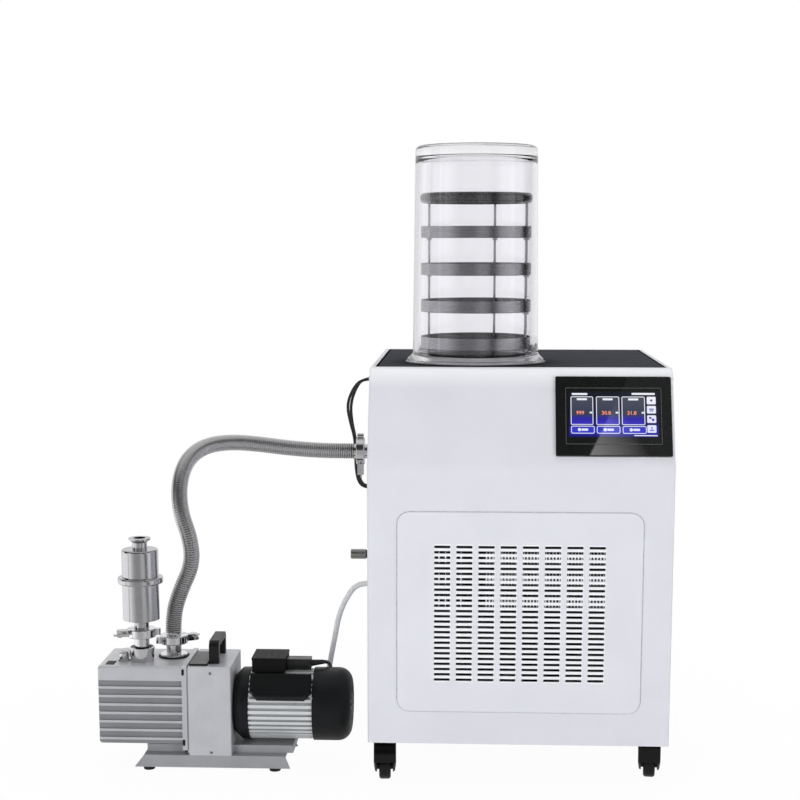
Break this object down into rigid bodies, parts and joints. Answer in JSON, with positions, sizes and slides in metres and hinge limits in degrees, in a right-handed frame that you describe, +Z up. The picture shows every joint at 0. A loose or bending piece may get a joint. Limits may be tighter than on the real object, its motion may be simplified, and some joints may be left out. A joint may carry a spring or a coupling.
{
  "type": "freeze dryer",
  "caption": "Bench freeze dryer: clear bell over stacked trays on a casters-mounted cold trap cabinet, with touch screen and a rotary vacuum pump joined by a steel hose.",
  "frame": {"origin": "centre of the bounding box's base, on the floor between cabinet and pump", "axes": "+X to the cabinet's side as seen from the front, -Y towards the front with the touch screen, +Z up"},
  "size_m": [1.023, 0.58, 1.124],
  "materials": {
    "cabinet_white": "satin powder coat",
    "plate_charcoal": "satin coat",
    "clear_plastic": "polished clear acrylic",
    "seal_rubber": "matt",
    "stainless": "brushed",
    "polished_steel": "polished",
    "hoop_dark": "gloss",
    "display_black": "gloss",
    "black_metal": "satin",
    "fins": "mill",
    "black_plastic": "satin",
    "grey_box": "satin",
    "zinc": "zinc plated",
    "tyre_black": "matt",
    "hose_steel": "bellows",
    "cable_black": "satin",
    "drain_clear": "translucent",
    "pump_grey": "satin enamel",
    "stator_silver": "die cast",
    "motor_black": "satin"
  },
  "bodies": {
    "freeze_dryer": {"base_pan": "zinc", "front_cover": "cabinet_white", "side_panel_left": "cabinet_white", "side_panel_right": "cabinet_white", "rear_panel": "cabinet_white", "top_plate": "plate_charcoal", "access_panel": "cabinet_white", "touch_panel": "display_black", "bell_jar": "clear_plastic", "bell_seal": "seal_rubber", "cold_trap": "stainless", "tray_rack": "stainless", "rack_hoop": "hoop_dark", "tray_1": "stainless", "tray_2": "stainless", "tray_3": "stainless", "tray_4": "stainless", "compressor": "black_metal", "condenser_core": "fins", "fan_frame": "black_metal", "control_box": "grey_box", "power_inlet": "black_plastic", "caster_plates": "zinc", "vacuum_port": "polished_steel", "hose_flanges": "polished_steel", "kf_clamps": "polished_steel", "side_fittings": "black_plastic", "vacuum_hose": "hose_steel", "cable_outer": "cable_black", "cable_inner": "cable_black", "drain_tube": "drain_clear", "pump_base": "pump_grey", "pump_feet": "seal_rubber", "oil_box": "pump_grey", "pump_block": "pump_grey", "pump_handle": "black_plastic", "pump_ports": "polished_steel", "mist_filter": "polished_steel", "motor_end_shield": "motor_black", "motor_stator": "stator_silver", "motor_cowl": "motor_black", "capacitor_housing": "black_plastic", "terminal_box": "black_plastic", "lead_connector": "cable_black", "pump_lead": "cable_black", "pump_lead_coil": "cable_black", "pump_plug": "cable_black"},
    "fork_front_left": {"caster_fork_front_left": "black_plastic"},
    "wheel_front_left": {"caster_wheel_front_left": "tyre_black"},
    "fork_front_right": {"caster_fork_front_right": "black_plastic"},
    "wheel_front_right": {"caster_wheel_front_right": "tyre_black"},
    "fork_rear_left": {"caster_fork_rear_left": "black_plastic"},
    "wheel_rear_left": {"caster_wheel_rear_left": "tyre_black"},
    "fork_rear_right": {"caster_fork_rear_right": "black_plastic"},
    "wheel_rear_right": {"caster_wheel_rear_right": "tyre_black"},
    "fan": {"fan_blades": "black_plastic"},
    "rotor": {"motor_rotor": "zinc"},
    "ballast": {"ballast_knob": "polished_steel"},
    "vent": {"vent_knob": "black_plastic"},
    "rocker": {"rocker_switch": "black_plastic"}
  },
  "joints": [
    {"name": "swivel_front_left", "type": "hinge", "parent": "freeze_dryer", "child": "fork_front_left", "pos_m": [0.0095, -0.235, 0.067], "axis": [0, 0, 1], "continuous": true},
    {"name": "roll_front_left", "type": "hinge", "parent": "fork_front_left", "child": "wheel_front_left", "pos_m": [0.01034, -0.25098, 0.025], "axis": [0.9986, 0.0523, 0], "continuous": true},
    {"name": "swivel_front_right", "type": "hinge", "parent": "freeze_dryer", "child": "fork_front_right", "pos_m": [0.4835, -0.235, 0.067], "axis": [0, 0, 1], "continuous": true},
    {"name": "roll_front_right", "type": "hinge", "parent": "fork_front_right", "child": "wheel_front_right", "pos_m": [0.48517, -0.21909, 0.025], "axis": [-0.9945, 0.1045, 0], "continuous": true},
    {"name": "swivel_rear_left", "type": "hinge", "parent": "freeze_dryer", "child": "fork_rear_left", "pos_m": [0.0095, 0.235, 0.067], "axis": [0, 0, 1], "continuous": true},
    {"name": "roll_rear_left", "type": "hinge", "parent": "fork_rear_left", "child": "wheel_rear_left", "pos_m": [0.00783, 0.21909, 0.025], "axis": [0.9945, -0.1045, 0], "continuous": true},
    {"name": "swivel_rear_right", "type": "hinge", "parent": "freeze_dryer", "child": "fork_rear_right", "pos_m": [0.4835, 0.235, 0.067], "axis": [0, 0, 1], "continuous": true},
    {"name": "roll_rear_right", "type": "hinge", "parent": "fork_rear_right", "child": "wheel_rear_right", "pos_m": [0.48545, 0.21912, 0.025], "axis": [0.9925, 0.1219, 0], "continuous": true},
    {"name": "fan_spin", "type": "hinge", "parent": "freeze_dryer", "child": "fan", "pos_m": [0.2465, -0.23, 0.262], "axis": [0, 1, 0], "continuous": true},
    {"name": "motor_spin", "type": "hinge", "parent": "freeze_dryer", "child": "rotor", "pos_m": [-0.1815, -0.165, 0.112], "axis": [1, 0, 0], "continuous": true},
    {"name": "ballast_turn", "type": "hinge", "parent": "freeze_dryer", "child": "ballast", "pos_m": [-0.4715, -0.187, 0.2], "axis": [0, 0, 1], "range_deg": [0, 90]},
    {"name": "vent_turn", "type": "hinge", "parent": "freeze_dryer", "child": "vent", "pos_m": [-0.0485, 0, 0.361], "axis": [-1, 0, 0], "range_deg": [0, 180]},
    {"name": "power_rock", "type": "hinge", "parent": "freeze_dryer", "child": "rocker", "pos_m": [0.4115, 0.28, 0.1545], "axis": [1, 0, 0], "range_deg": [-16, 0]}
  ]
}
